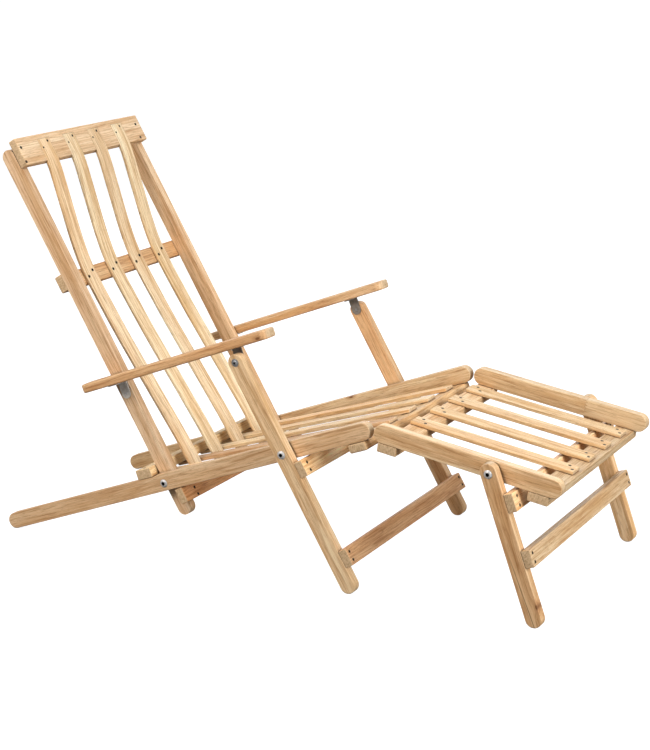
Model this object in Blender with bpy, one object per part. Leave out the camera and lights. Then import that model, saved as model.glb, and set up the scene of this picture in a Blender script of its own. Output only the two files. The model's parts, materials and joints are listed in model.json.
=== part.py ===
"""Folding wooden deck chair with arm rests and a hinged footrest.

Metres. +X points at the foot end, +Z is up, the chair is symmetric about Y = 0, the floor is Z = 0.
Every long member is drawn in its own frame: u runs along it and w across it, in the X-Z plane.
"""

import math

import bmesh
import bpy
from mathutils import Matrix, Vector

# ---- overall layout -------------------------------------------------------------------------
HALF_WIDTH = 0.300      # outer faces of the legs
TIMBER = 0.023          # thickness of rails, legs and stiles
LAYER_GAP = 0.003       # between rail and leg, and between rail and stile
FIT = 0.0003            # gap left between pieces that touch
EASE = 0.002            # rounding of the long edges
ARC_STEPS = 14          # facets on each rounded end

SEAT_TILT = math.radians(19.7)       # seat rails rise toward the foot end
LEAN = math.radians(119.2)           # stiles and front legs, measured from +X
FOOT_TILT = math.radians(-9.9)       # footrest rails fall toward the foot end
FOOT_LEG_LEAN = math.radians(108.4)  # footrest legs, measured from +X

PIVOT_A = Vector((-0.2601, 0, 0.18256))        # stile on seat rail
LEG_AT = 0.3615                               # pivot A to pivot B along the seat rail
ARM_RISE = 0.2304                             # pivots A to C and B to D, along the stile and the leg
PIVOT_F = PIVOT_A + Vector((0.8431, 0, 0.1456))  # footrest leg on footrest rail

# ---- seat frame -----------------------------------------------------------------------------
RAIL_TOP = 0.0225
RAIL_BOTTOM = -0.0185
RAIL_NOTCH_TOP = 0.0207      # top of the rail behind the shoulder
SHOULDER = (-0.025, -0.008)  # where the notch ends and the full depth begins
RAIL_REAR = -0.4865          # centre of the rounded rear end, which stands on the floor
RAIL_FRONT = 0.5640          # centre of the rounded front end
REAR_BAR = (-0.0705, -0.0272, 0.0240)
FRONT_CROSSBAR = (0.5175, 0.5630, 0.0210)
SEAT_SLAT = (-0.062, 0.548)
SEAT_SLAT_TOP = (0.0200, -0.0095)

# ---- slats ----------------------------------------------------------------------------------
SLAT_WIDTH = 0.040
SLAT_THICKNESS = 0.009
BACK_SLAT_THICKNESS = 0.007
SLAT_PITCH = 0.099
SEAT_SLAT_COUNT = 5
BACK_SLAT_WIDTH = 0.044
BACK_SLAT_COUNT = 4

# ---- backrest -------------------------------------------------------------------------------
STILE_HALF = 0.0184
STILE_ENDS = (-0.072, 0.854)      # centres of the rounded ends
HEAD_RAIL = (0.815, 0.885, 0.0220)
MID_RAIL = (0.511, 0.553, 0.0220)
LOWER_BAR = (-0.0638, -0.0258, 0.0215)
BACK_SLAT_ENDS = (-0.0625, 0.872)
# distance of the back slats' rear faces in front of the pivot line, at stations along the stile
BACK_SLAT_BOW = ((-0.0625, 0.0093), (-0.025, 0.0093), (0.020, 0.0094), (0.070, 0.0082), (0.115, 0.0055),
                 (0.165, 0.0015), (0.250, -0.0052), (0.350, -0.0120), (0.440, -0.0163), (0.503, -0.0181),
                 (0.553, -0.0181), (0.600, -0.0120), (0.650, -0.0020), (0.700, 0.0095), (0.760, 0.0235),
                 (0.795, 0.0310), (0.817, 0.0340), (0.872, 0.0340))

# ---- legs -----------------------------------------------------------------------------------
LEG_HALF = 0.019
BAR_THICKNESS = 0.021
LEG_UPPER_BAR = (0.0285, 0.0665)  # below pivot B
LEG_LOWER_BAR = (0.2484, 0.2892)
FOOT_LEG_UPPER_BAR = (0.0490, 0.0900)  # below pivot F
FOOT_LEG_LOWER_BAR = (0.1748, 0.2142)
FOOT_LEG_TOP = 0.004

# ---- footrest -------------------------------------------------------------------------------
FOOT_RAIL_ENDS = (-0.266, 0.1359)
FOOT_RAIL_HALF = 0.021
FOOT_RAIL_RISE = 0.0015           # rail centre above pivot F
FOOT_REAR_CROSSBAR = (-0.274, -0.228)
FOOT_FRONT_CROSSBAR = (0.084, 0.131)
FOOT_SLAT = (-0.272, 0.123)

# ---- arm rests ------------------------------------------------------------------------------
ARM_ENDS = (-0.0890, 0.4655)      # from pivot C
ARM_FACES = (0.0305, 0.0515)      # underside and top above the line of pivots
ARM_CORNER = 0.019
BRACKET_PLATE = 0.002
BRACKET_HALF = 0.0125

# ---- hardware -------------------------------------------------------------------------------
BOLT_R = 0.004
BORE_R = 0.0044
WASHER_R = 0.0095
WASHER_T = 0.0012
HEAD_R = 0.0062
HEAD_T = 0.0028
HINGE_AT = (0.5590, 0.1537)   # from pivot A in X and Z
HINGE_Y = 0.150
HINGE_WIDTH = 0.060
HINGE_PLATE = 0.002
HINGE_PIN_R = 0.0036

LEG_OUT = HALF_WIDTH
LEG_IN = LEG_OUT - TIMBER
RAIL_OUT = LEG_IN - LAYER_GAP
RAIL_IN = RAIL_OUT - TIMBER
STILE_OUT = RAIL_IN - LAYER_GAP
STILE_IN = STILE_OUT - TIMBER
SIDES = (("left", -1), ("right", 1))

WOOD = (0.62, 0.42, 0.23, 1)
STEEL = (0.62, 0.63, 0.65, 1)


def clear_scene():
    for obj in list(bpy.data.objects):
        bpy.data.objects.remove(obj, do_unlink=True)


def material_for(name, colour, metallic, roughness):
    mat = bpy.data.materials.new(name)
    mat.use_nodes = True
    shader = mat.node_tree.nodes["Principled BSDF"]
    shader.inputs["Base Color"].default_value = colour
    shader.inputs["Metallic"].default_value = metallic
    shader.inputs["Roughness"].default_value = roughness
    return mat


def body_axis(name, location, parent=None):
    """An empty on the joint axis that carries one moving group."""
    empty = bpy.data.objects.new(name, None)
    empty.empty_display_size = 0.05
    bpy.context.scene.collection.objects.link(empty)
    empty.location = location
    if parent is not None:
        empty.parent = parent
        empty.location = location - parent.matrix_world.translation
    bpy.context.view_layer.update()
    return empty


def frame_matrix(origin, angle):
    """Maps (u, y, w) onto the world for a member that runs at this angle above +X."""
    return Matrix.Translation(origin) @ Matrix.Rotation(-angle, 4, "Y")


def add_solid(name, mesh_builder, matrix, body, metal=False):
    """One node: the builder fills a bmesh in the member's own frame."""
    bm = bmesh.new()
    mesh_builder(bm)
    bmesh.ops.recalc_face_normals(bm, faces=bm.faces)
    mesh = bpy.data.meshes.new(name)
    bm.to_mesh(mesh)
    bm.free()
    obj = bpy.data.objects.new(name, mesh)
    bpy.context.scene.collection.objects.link(obj)
    origin = body.matrix_world.translation
    obj.parent = body
    obj.matrix_basis = Matrix.Translation(-origin) @ matrix
    if metal:
        mesh.materials.append(material_for(name + "_steel", STEEL, 1.0, 0.35))
    else:
        mesh.materials.append(material_for(name + "_wood", WOOD, 0.0, 0.5))
    return obj


def ease_edges(obj, width=EASE, segments=2, angle=50):
    bevel = obj.modifiers.new("ease", "BEVEL")
    bevel.width = width
    bevel.segments = segments
    bevel.limit_method = "ANGLE"
    bevel.angle_limit = math.radians(angle)
    bevel.use_clamp_overlap = True
    obj.data.shade_smooth()
    obj.data.set_sharp_from_angle(angle=math.radians(40))


def extrude_outline(bm, outline, y0, y1):
    """A closed outline in the u-w plane, drawn out from y0 to y1."""
    near = [bm.verts.new((u, y0, w)) for u, w in outline]
    far = [bm.verts.new((u, y1, w)) for u, w in outline]
    count = len(outline)
    bm.faces.new(near)
    bm.faces.new(list(reversed(far)))
    for i in range(count):
        j = (i + 1) % count
        bm.faces.new((near[j], near[i], far[i], far[j]))


def arc(centre, radius, start, end, steps):
    """Points on an arc, degrees, both ends included."""
    points = []
    for i in range(steps + 1):
        angle = math.radians(start + (end - start) * i / steps)
        points.append((centre[0] + radius * math.cos(angle), centre[1] + radius * math.sin(angle)))
    return points


def slot_outline(u0, u1, half, centre_w=0.0):
    """A bar with two half-round ends whose centres are at u0 and u1."""
    return arc((u1, centre_w), half, -90, 90, ARC_STEPS) + arc((u0, centre_w), half, 90, 270, ARC_STEPS)


def rect_outline(u0, u1, w0, w1):
    return [(u0, w0), (u1, w0), (u1, w1), (u0, w1)]


def board(name, body, matrix, u, w, y, width=EASE):
    """A straight board: u, w and y are (low, high) pairs in the member's frame."""
    outline = rect_outline(u[0], u[1], w[0], w[1])
    obj = add_solid(name, lambda bm: extrude_outline(bm, outline, y[0], y[1]), matrix, body)
    ease_edges(obj, width)
    return obj


def subtract(obj, cutter):
    """Cuts the helper's shape out of obj and hides the helper."""
    cutter.hide_render = True
    cutter.display_type = "WIRE"
    cut = obj.modifiers.new("cut_" + cutter.name, "BOOLEAN")
    cut.operation = "DIFFERENCE"
    cut.solver = "EXACT"
    cut.object = cutter


def drill(obj, name, matrix, y):
    """Bores a pivot hole through obj about the Y axis at this frame's origin."""
    bm = bmesh.new()
    centre = Matrix.Translation((0, (y[0] + y[1]) / 2, 0)) @ Matrix.Rotation(math.radians(90), 4, "X")
    bmesh.ops.create_cone(bm, cap_ends=True, segments=20, radius1=BORE_R, radius2=BORE_R,
                          depth=abs(y[1] - y[0]), matrix=centre)
    mesh = bpy.data.meshes.new(name)
    bm.to_mesh(mesh)
    bm.free()
    cutter = bpy.data.objects.new(name, mesh)
    bpy.context.scene.collection.objects.link(cutter)
    cutter.matrix_world = matrix
    subtract(obj, cutter)


def lateral(side, inner, outer):
    """(low, high) in Y for a layer on this side of the chair."""
    return (inner, outer) if side > 0 else (-outer, -inner)


def revolve_profile(bm, profile, side, steps=20):
    """A turned piece about the Y axis: profile is (radius, distance from the centre plane)."""
    rings = []
    for radius, y in profile:
        ring = []
        for i in range(steps):
            angle = 2 * math.pi * i / steps
            ring.append(bm.verts.new((radius * math.cos(angle), side * y, radius * math.sin(angle))))
        rings.append(ring)
    for low, high in zip(rings, rings[1:]):
        for i in range(steps):
            j = (i + 1) % steps
            bm.faces.new((low[i], low[j], high[j], high[i]))
    bm.faces.new(rings[0])
    bm.faces.new(rings[-1])


def bolt(name, body, pivot, side, inner, outer, nut, socket=True):
    """A pivot bolt: washer and head outside the outer face, shaft inward, a nut where there is room."""
    profile = []
    if nut:
        profile += [(0.0060, inner - 0.0040), (0.0068, inner - 0.0034), (0.0068, inner - FIT)]
        profile += [(BOLT_R, inner - FIT)]
    else:
        profile += [(BOLT_R, inner)]
    face = outer + FIT
    profile += [(BOLT_R, face), (WASHER_R, face), (WASHER_R, face + WASHER_T)]
    profile += [(HEAD_R + 0.0006, face + WASHER_T), (HEAD_R, face + WASHER_T + HEAD_T)]
    if socket:
        profile += [(0.0032, face + WASHER_T + HEAD_T), (0.0028, face + WASHER_T + 0.0008)]
    obj = add_solid(name, lambda bm: revolve_profile(bm, profile, side), frame_matrix(pivot, 0), body, True)
    obj.data.shade_smooth()
    obj.data.set_sharp_from_angle(angle=math.radians(35))
    return obj


def slat_lanes(count):
    return [(i - (count - 1) / 2) * SLAT_PITCH for i in range(count)]


def bow_at(s):
    """Smooth curve through the bow stations (Catmull-Rom)."""
    points = BACK_SLAT_BOW
    last = len(points) - 2
    k = max(i for i in range(last + 1) if points[i][0] <= s + 1e-9)
    (s0, q0), (s1, q1) = points[k], points[k + 1]
    before = points[max(k - 1, 0)]
    after = points[min(k + 2, last + 1)]
    t = (s - s0) / (s1 - s0)
    m0 = (q1 - before[1]) / (s1 - before[0]) * (s1 - s0)
    m1 = (after[1] - q0) / (after[0] - s0) * (s1 - s0)
    return ((2 * t**3 - 3 * t**2 + 1) * q0 + (t**3 - 2 * t**2 + t) * m0
            + (-2 * t**3 + 3 * t**2) * q1 + (t**3 - t**2) * m1)


def bow_stations():
    """Stations of the bowed slat: every knot, and one more between neighbours."""
    stations = []
    for (s0, _), (s1, _) in zip(BACK_SLAT_BOW, BACK_SLAT_BOW[1:]):
        stations += [s0, (s0 + s1) / 2] if s1 - s0 > 0.03 else [s0]
    return stations + [BACK_SLAT_BOW[-1][0]]


def build_seat_frame():
    seat = body_axis("seat_frame", PIVOT_A)
    frame = frame_matrix(PIVOT_A, SEAT_TILT)
    notch_half = (RAIL_NOTCH_TOP - RAIL_BOTTOM) / 2
    notch_centre = (RAIL_NOTCH_TOP + RAIL_BOTTOM) / 2
    rail_half = (RAIL_TOP - RAIL_BOTTOM) / 2
    rail_centre = (RAIL_TOP + RAIL_BOTTOM) / 2
    shoulder = []
    for i in range(6):
        t = i / 5
        u = SHOULDER[1] + (SHOULDER[0] - SHOULDER[1]) * t
        shoulder.append((u, RAIL_TOP + (RAIL_NOTCH_TOP - RAIL_TOP) * t**2))
    outline = arc((RAIL_FRONT, rail_centre), rail_half, -90, 90, ARC_STEPS) + shoulder
    outline += arc((RAIL_REAR, notch_centre), notch_half, 90, 270, ARC_STEPS)
    for label, side in SIDES:
        y = lateral(side, RAIL_IN, RAIL_OUT)
        rail = add_solid("seat_rail_" + label, lambda bm: extrude_outline(bm, outline, *y), frame, seat)
        cut = lateral(side, RAIL_IN - 0.01, RAIL_OUT + 0.01)
        drill(rail, "bore_a_rail_" + label, frame, cut)
        drill(rail, "bore_b_rail_" + label, frame @ Matrix.Translation((LEG_AT, 0, 0)), cut)
        ease_edges(rail)
    across = (-RAIL_OUT, RAIL_OUT)
    w = RAIL_NOTCH_TOP + FIT
    board("rear_stop_bar", seat, frame, REAR_BAR[:2], (w, w + REAR_BAR[2]), across)
    w = RAIL_BOTTOM - FIT
    board("seat_front_crossbar", seat, frame, FRONT_CROSSBAR[:2], (w - FRONT_CROSSBAR[2], w), across, 0.004)
    fall = math.atan2(SEAT_SLAT_TOP[0] - SEAT_SLAT_TOP[1], SEAT_SLAT[1] - SEAT_SLAT[0])
    length = math.hypot(SEAT_SLAT_TOP[0] - SEAT_SLAT_TOP[1], SEAT_SLAT[1] - SEAT_SLAT[0])
    start = frame @ Vector((SEAT_SLAT[0], 0, SEAT_SLAT_TOP[0]))
    slat_frame = frame_matrix(start, SEAT_TILT - fall)
    for i, lane in enumerate(slat_lanes(SEAT_SLAT_COUNT)):
        y = (lane - SLAT_WIDTH / 2, lane + SLAT_WIDTH / 2)
        board(f"seat_slat_{i + 1}", seat, slat_frame, (0, length), (-SLAT_THICKNESS, 0), y, 0.0015)
    for label, side in SIDES:
        bolt("stile_pivot_bolt_" + label, seat, PIVOT_A, side, STILE_IN, RAIL_OUT, True)
        pivot_b = frame @ Vector((LEG_AT, 0, 0))
        bolt("leg_pivot_bolt_" + label, seat, pivot_b, side, RAIL_IN + 0.001, LEG_OUT, False)
    return seat


def house_slats(head, frame):
    """Notches in the head rail's front face that the upper ends of the back slats lie in."""
    depth = (bow_at(BACK_SLAT_ENDS[1]) - FIT, STILE_HALF + HEAD_RAIL[2] + 0.02)
    half = BACK_SLAT_WIDTH / 2 + FIT
    for i, lane in enumerate(slat_lanes(BACK_SLAT_COUNT)):
        bm = bmesh.new()
        top = BACK_SLAT_ENDS[1] + FIT
        outline = rect_outline(HEAD_RAIL[0] - 0.02, top, -depth[1], -depth[0])
        extrude_outline(bm, outline, lane - half, lane + half)
        bmesh.ops.recalc_face_normals(bm, faces=bm.faces)
        mesh = bpy.data.meshes.new(f"housing_{i + 1}")
        bm.to_mesh(mesh)
        bm.free()
        cutter = bpy.data.objects.new(f"housing_{i + 1}", mesh)
        bpy.context.scene.collection.objects.link(cutter)
        cutter.matrix_world = frame
        subtract(head, cutter)


def build_back_slat(name, back, frame, lane):
    def fill(bm):
        stations = bow_stations()
        rear = [(s, bow_at(s)) for s in stations]
        front = [(s, q + BACK_SLAT_THICKNESS) for s, q in reversed(rear)]
        # stile frame: u runs up the stile, and forward of it is -w
        outline = [(s, -q) for s, q in rear + front]
        extrude_outline(bm, outline, lane - BACK_SLAT_WIDTH / 2, lane + BACK_SLAT_WIDTH / 2)
    slat = add_solid(name, fill, frame, back)
    ease_edges(slat, 0.0015)
    return slat


def build_backrest(seat):
    back = body_axis("backrest", PIVOT_A, seat)
    frame = frame_matrix(PIVOT_A, LEAN)
    outline = slot_outline(STILE_ENDS[0], STILE_ENDS[1], STILE_HALF)
    for label, side in SIDES:
        y = lateral(side, STILE_IN, STILE_OUT)
        stile = add_solid("stile_" + label, lambda bm: extrude_outline(bm, outline, *y), frame, back)
        cut = lateral(side, STILE_IN - 0.01, STILE_OUT + 0.01)
        drill(stile, "bore_a_stile_" + label, frame, cut)
        drill(stile, "bore_c_stile_" + label, frame @ Matrix.Translation((ARM_RISE, 0, 0)), cut)
        ease_edges(stile)
    across = (-STILE_OUT, STILE_OUT)
    face = STILE_HALF + FIT
    head = board("head_rail", back, frame, HEAD_RAIL[:2], (-face - HEAD_RAIL[2], -face), across, 0.003)
    house_slats(head, frame)
    board("mid_rail", back, frame, MID_RAIL[:2], (face, face + MID_RAIL[2]), across, 0.003)
    inner = -RAIL_BOTTOM + FIT
    across = (-RAIL_OUT, RAIL_OUT)
    board("lower_stop_bar", back, frame, LOWER_BAR[:2], (-inner - LOWER_BAR[2], -inner), across)
    for i, lane in enumerate(slat_lanes(BACK_SLAT_COUNT)):
        build_back_slat(f"back_slat_{i + 1}", back, frame, lane)
    return back


def build_arm(label, side, back):
    frame_c = frame_matrix(PIVOT_A, LEAN) @ Matrix.Translation((ARM_RISE, 0, 0))
    pivot_c = frame_c.translation.copy()
    arm_body = body_axis("armrest_" + label, pivot_c, back)
    frame = frame_matrix(pivot_c, SEAT_TILT)
    y = lateral(side, RAIL_IN, LEG_OUT)

    def fill(bm):
        r = ARM_CORNER
        low, high = y
        corners = [((ARM_ENDS[1] - r, low + r), -90, 0), ((ARM_ENDS[1] - r, high - r), 0, 90)]
        corners += [((ARM_ENDS[0] + r, high - r), 90, 180), ((ARM_ENDS[0] + r, low + r), 180, 270)]
        plan = []
        for centre, start, end in corners:
            plan += arc(centre, r, start, end, 7)
        bottom = [bm.verts.new((u, v, ARM_FACES[0])) for u, v in plan]
        top = [bm.verts.new((u, v, ARM_FACES[1])) for u, v in plan]
        bm.faces.new(bottom)
        bm.faces.new(list(reversed(top)))
        for i in range(len(plan)):
            j = (i + 1) % len(plan)
            bm.faces.new((bottom[j], bottom[i], top[i], top[j]))
    arm = add_solid("arm_" + label, fill, frame, arm_body)
    ease_edges(arm, 0.004, 3)
    bolt_c(label, side, back, pivot_c)
    rear_plate = (STILE_OUT + FIT, STILE_OUT + FIT + BRACKET_PLATE)
    front_plate = (RAIL_OUT + 0.0007, RAIL_OUT + 0.0007 + BRACKET_PLATE)
    bracket("arm_rear_bracket_" + label, arm_body, frame, side, rear_plate, RAIL_IN + 0.038)
    front = frame @ Matrix.Translation((LEG_AT, 0, 0))
    bracket("arm_front_bracket_" + label, arm_body, front, side, front_plate, RAIL_IN + 0.002)
    return arm_body


def bolt_c(label, side, back, pivot_c):
    """The rear arm bolt has its head on the stile's inner face and ends inside the bracket plate."""
    inner = STILE_IN - FIT
    tip = STILE_OUT + FIT + BRACKET_PLATE * 0.9
    profile = [(HEAD_R - 0.001, inner - 0.0035), (HEAD_R, inner - 0.0025), (HEAD_R, inner), (BOLT_R, inner)]
    profile += [(BOLT_R, tip)]
    obj = add_solid("arm_rear_bolt_" + label, lambda bm: revolve_profile(bm, profile, side),
                    frame_matrix(pivot_c, 0), back, True)
    obj.data.shade_smooth()
    obj.data.set_sharp_from_angle(angle=math.radians(35))


def bracket(name, body, frame, side, plate, flange_end):
    """An angle plate: a round-ended cheek about the pivot and a flange under the arm."""
    top = ARM_FACES[0] - FIT
    cheek = arc((0, 0), BRACKET_HALF, 180, 360, 12) + [(BRACKET_HALF, top), (-BRACKET_HALF, top)]
    outer, inner = (plate[1], plate[0]) if flange_end < plate[0] else (plate[0], plate[1])

    def fill(bm):
        y = lateral(side, *plate)
        extrude_outline(bm, cheek, *y)
    obj = add_solid(name, fill, frame, body, True)

    def fill_flange(bm):
        low, high = sorted((outer, flange_end))
        y = lateral(side, low, high)
        flange = rect_outline(-BRACKET_HALF, BRACKET_HALF, top - BRACKET_PLATE, top)
        extrude_outline(bm, flange, *y)
    flange = add_solid(name + "_flange", fill_flange, frame, body, True)
    flange.hide_render = True
    flange.display_type = "WIRE"
    join = obj.modifiers.new("flange", "BOOLEAN")
    join.operation = "UNION"
    join.solver = "EXACT"
    join.object = flange
    drill(obj, "bore_" + name, frame, lateral(side, plate[0] - 0.01, plate[1] + 0.01))
    return obj


def build_front_legs(seat):
    pivot_b = frame_matrix(PIVOT_A, SEAT_TILT) @ Vector((LEG_AT, 0, 0))
    legs = body_axis("front_legs", pivot_b, seat)
    frame = frame_matrix(pivot_b, LEAN)
    reach = (pivot_b.z - LEG_HALF) / math.sin(LEAN)
    outline = slot_outline(-reach, ARM_RISE, LEG_HALF)
    for label, side in SIDES:
        y = lateral(side, LEG_IN, LEG_OUT)
        leg = add_solid("front_leg_" + label, lambda bm: extrude_outline(bm, outline, *y), frame, legs)
        cut = lateral(side, LEG_IN - 0.01, LEG_OUT + 0.01)
        drill(leg, "bore_b_leg_" + label, frame, cut)
        drill(leg, "bore_d_leg_" + label, frame @ Matrix.Translation((ARM_RISE, 0, 0)), cut)
        ease_edges(leg)
        pivot_d = frame @ Vector((ARM_RISE, 0, 0))
        tip = RAIL_OUT + 0.0007 + BRACKET_PLATE * 0.1
        bolt("arm_front_bolt_" + label, legs, pivot_d, side, tip, LEG_OUT, False, False)
    add_bars("front_leg", legs, frame, (LEG_UPPER_BAR, LEG_LOWER_BAR))
    return legs


def add_bars(prefix, body, frame, bars):
    """The two crossbars on the front faces of a pair of legs."""
    face = LEG_HALF + FIT
    for label, span in zip(("upper", "lower"), bars):
        board(f"{prefix}_{label}_bar", body, frame, (-span[1], -span[0]),
              (-face - BAR_THICKNESS, -face), (-LEG_OUT, LEG_OUT))


def build_footrest(seat):
    hinge = PIVOT_A + Vector((HINGE_AT[0], 0, HINGE_AT[1]))
    rest = body_axis("footrest", hinge, seat)
    frame = frame_matrix(PIVOT_F, FOOT_TILT)
    outline = slot_outline(FOOT_RAIL_ENDS[0], FOOT_RAIL_ENDS[1], FOOT_RAIL_HALF, FOOT_RAIL_RISE)
    for label, side in SIDES:
        y = lateral(side, RAIL_IN, RAIL_OUT)
        rail = add_solid("footrest_rail_" + label, lambda bm: extrude_outline(bm, outline, *y), frame, rest)
        drill(rail, "bore_f_rail_" + label, frame, lateral(side, RAIL_IN - 0.01, RAIL_OUT + 0.01))
        ease_edges(rail)
        bolt("footrest_pivot_bolt_" + label, rest, PIVOT_F, side, RAIL_IN + 0.001, LEG_OUT, False)
    bottom = FOOT_RAIL_RISE - FOOT_RAIL_HALF
    w = (bottom - FIT - BAR_THICKNESS, bottom - FIT)
    across = (-RAIL_OUT, RAIL_OUT)
    board("footrest_rear_crossbar", rest, frame, FOOT_REAR_CROSSBAR, w, across)
    board("footrest_front_crossbar", rest, frame, FOOT_FRONT_CROSSBAR, w, across)
    for i, lane in enumerate(slat_lanes(SEAT_SLAT_COUNT)):
        y = (lane - SLAT_WIDTH / 2, lane + SLAT_WIDTH / 2)
        board(f"footrest_slat_{i + 1}", rest, frame, FOOT_SLAT, (bottom, bottom + SLAT_THICKNESS), y, 0.0015)
    return rest


def build_footrest_legs(rest):
    legs = body_axis("footrest_legs", PIVOT_F, rest)
    frame = frame_matrix(PIVOT_F, FOOT_LEG_LEAN)
    reach = (PIVOT_F.z - LEG_HALF) / math.sin(FOOT_LEG_LEAN)
    outline = slot_outline(-reach, FOOT_LEG_TOP, LEG_HALF)
    for label, side in SIDES:
        y = lateral(side, LEG_IN, LEG_OUT)
        leg = add_solid("footrest_leg_" + label, lambda bm: extrude_outline(bm, outline, *y), frame, legs)
        drill(leg, "bore_f_leg_" + label, frame, lateral(side, LEG_IN - 0.01, LEG_OUT + 0.01))
        ease_edges(leg)
    add_bars("footrest_leg", legs, frame, (FOOT_LEG_UPPER_BAR, FOOT_LEG_LOWER_BAR))


def hinge_leaf(name, body, frame, plate_u, plate_w, pin, y, knuckles):
    """One hinge leaf: a plate under a crossbar and round knuckles about the pin."""
    def fill_plate(bm):
        extrude_outline(bm, rect_outline(plate_u[0], plate_u[1], plate_w[0], plate_w[1]), y[0], y[1])
    leaf = add_solid(name, fill_plate, frame, body, True)
    for i, (low, high) in enumerate(knuckles):
        def fill_knuckle(bm):
            near, far = sorted(plate_u, key=lambda u: abs(u - pin[0]))
            shift = 0.004 if far > near else -0.004
            eye = arc(pin, HINGE_PIN_R, 0, 345, 23)
            extrude_outline(bm, eye, low, high)
            neck = rect_outline(*sorted((pin[0], near + shift)), plate_w[0] + 0.0002, plate_w[1] - 0.0002)
            extrude_outline(bm, neck, low + 0.0002, high - 0.0002)
        part = add_solid(f"{name}_knuckle_{i + 1}", fill_knuckle, frame, body, True)
        part.hide_render = True
        part.display_type = "WIRE"
        join = leaf.modifiers.new(f"knuckle_{i + 1}", "BOOLEAN")
        join.operation = "UNION"
        join.solver = "EXACT"
        join.use_self = True
        join.object = part
    return leaf


def build_hinges(seat, rest):
    """Two butt hinges under the facing crossbars join the footrest to the seat."""
    hinge = PIVOT_A + Vector((HINGE_AT[0], 0, HINGE_AT[1]))
    seat_frame = frame_matrix(PIVOT_A, SEAT_TILT)
    foot_frame = frame_matrix(PIVOT_F, FOOT_TILT)
    seat_pin = seat_frame.inverted() @ hinge
    foot_pin = foot_frame.inverted() @ hinge
    seat_under = RAIL_BOTTOM - FIT - FRONT_CROSSBAR[2] - FIT
    foot_under = FOOT_RAIL_RISE - FOOT_RAIL_HALF - FIT - BAR_THICKNESS - FIT
    half = HINGE_WIDTH / 2
    third = HINGE_WIDTH / 6
    for label, side in SIDES:
        y = (side * HINGE_Y - half, side * HINGE_Y + half)
        mid = side * HINGE_Y
        outer = ((y[0], mid - third - FIT), (mid + third + FIT, y[1]))
        middle = ((mid - third, mid + third),)
        plate = (FRONT_CROSSBAR[0] + 0.008, seat_pin.x - HINGE_PIN_R - 0.0015)
        hinge_leaf("hinge_seat_leaf_" + label, seat, seat_frame, plate, (seat_under - HINGE_PLATE, seat_under),
                   (seat_pin.x, seat_pin.z), y, outer)
        plate = (foot_pin.x + HINGE_PIN_R + 0.0015, FOOT_REAR_CROSSBAR[1] - 0.008)
        hinge_leaf("hinge_foot_leaf_" + label, rest, foot_frame, plate, (foot_under - HINGE_PLATE, foot_under),
                   (foot_pin.x, foot_pin.z), y, middle)


def main():
    clear_scene()
    seat = build_seat_frame()
    back = build_backrest(seat)
    for label, side in SIDES:
        build_arm(label, side, back)
    build_front_legs(seat)
    rest = build_footrest(seat)
    build_footrest_legs(rest)
    build_hinges(seat, rest)


main()
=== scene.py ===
"""Looks for the folding deck chair: oiled wood, screws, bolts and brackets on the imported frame."""
import json
import math

import bmesh
import bpy
import numpy as np
from mathutils import Matrix, Vector


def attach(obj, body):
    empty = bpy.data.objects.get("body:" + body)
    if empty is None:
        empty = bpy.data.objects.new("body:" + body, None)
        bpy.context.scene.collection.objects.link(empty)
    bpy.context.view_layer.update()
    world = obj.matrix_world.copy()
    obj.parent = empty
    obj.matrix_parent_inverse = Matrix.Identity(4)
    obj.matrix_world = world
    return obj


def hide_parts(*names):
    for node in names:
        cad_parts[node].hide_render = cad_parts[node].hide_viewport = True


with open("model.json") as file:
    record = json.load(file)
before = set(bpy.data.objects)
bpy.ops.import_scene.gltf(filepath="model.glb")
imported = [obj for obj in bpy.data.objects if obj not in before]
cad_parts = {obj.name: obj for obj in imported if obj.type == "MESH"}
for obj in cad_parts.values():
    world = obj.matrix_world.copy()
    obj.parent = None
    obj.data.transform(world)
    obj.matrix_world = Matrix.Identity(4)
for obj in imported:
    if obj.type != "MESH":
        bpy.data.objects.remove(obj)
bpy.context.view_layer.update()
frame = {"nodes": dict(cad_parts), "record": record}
BODIES = frame["record"]["behaviour"]["bodies"]
BODY_OF = {node: body for body, nodes in BODIES.items() for node in nodes}

# ---- layout, the same as the CAD's ----------------------------------------------------------
PIVOT_A = Vector((-0.2601, 0, 0.18256))
PIVOT_F = PIVOT_A + Vector((0.8431, 0, 0.1456))
SEAT_TILT = math.radians(19.7)
LEAN = math.radians(119.2)
FOOT_TILT = math.radians(-9.9)
FOOT_LEG_LEAN = math.radians(108.4)
LEG_AT, ARM_RISE = 0.3615, 0.2304            # metres from pivot A to B, and from A to C and B to D
LEG_OUT, RAIL_OUT, RAIL_IN, STILE_IN = 0.300, 0.274, 0.251, 0.225
SIDES = (("left", -1), ("right", 1))
SLAT_FALL = math.atan2(0.0295, 0.610)
LANE = 0.099                                 # pitch of the slats
FOOT_SLAT_TOP = 0.0015 - 0.021 + 0.009
SLAT_FACE_HEAD, SLAT_FACE_MID = 0.0410, -0.0111    # a back slat's rear face at the head and middle rails
# (along the back, rear face) of a back slat
BOW = ((-0.0625, 0.0093), (-0.025, 0.0093), (0.020, 0.0094), (0.070, 0.0082), (0.115, 0.0055),
       (0.165, 0.0015), (0.250, -0.0052), (0.350, -0.0120), (0.440, -0.0163), (0.503, -0.0181),
       (0.553, -0.0181), (0.600, -0.0120), (0.650, -0.0020), (0.700, 0.0095), (0.760, 0.0235),
       (0.795, 0.0310), (0.817, 0.0340), (0.872, 0.0340))


def frame_matrix(origin, angle):
    """Maps (u along, y, w across) of a member onto the row frame."""
    return Matrix.Translation(origin) @ Matrix.Rotation(-angle, 4, "Y")


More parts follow.
